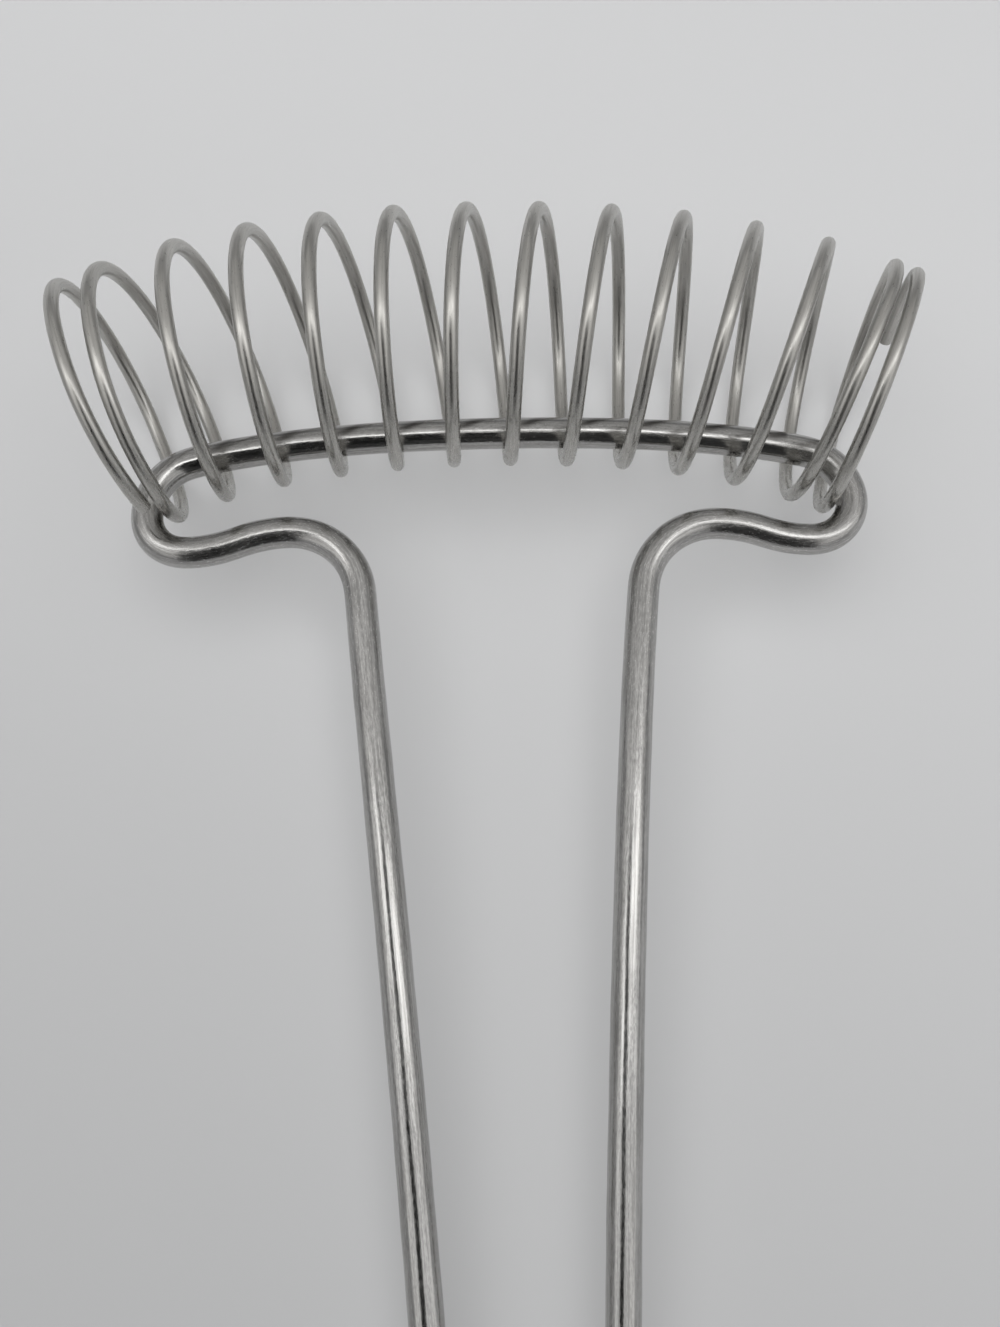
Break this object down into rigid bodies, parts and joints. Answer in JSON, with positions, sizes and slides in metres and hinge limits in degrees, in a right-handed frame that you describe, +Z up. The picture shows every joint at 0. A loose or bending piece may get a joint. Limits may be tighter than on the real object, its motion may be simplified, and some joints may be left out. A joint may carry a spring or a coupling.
{
  "type": "whisk",
  "caption": "All-metal coil whisk: a closed rod frame with a long tapering handle and an arched top bar that carries a loose wire coil, for beating sauces and eggs.",
  "frame": {"origin": "centre of the lying whisk's outline, on the table under it", "axes": "+X to the right across the head, +Y along the handle towards the head, +Z up from the table; the whisk lies as it does in the picture, on its end turns and the end of its handle"},
  "size_m": [0.1102, 0.2702, 0.035],
  "materials": {
    "rod_steel": "satin, drawn lengthwise, finely pitted and rubbed",
    "wire_steel": "smooth satin"
  },
  "bodies": {
    "frame": {"handle_frame": "rod_steel"},
    "coil": {"whisk_coil": "wire_steel"}
  },
  "joints": [
    {"name": "coil_swing", "type": "hinge", "parent": "frame", "child": "coil", "pos_m": [0.00012, 0.10833, 0.01241], "axis": [1, 0, 0], "range_deg": [-16, 15], "stiffness_Nm_per_rad": 0.05}
  ]
}
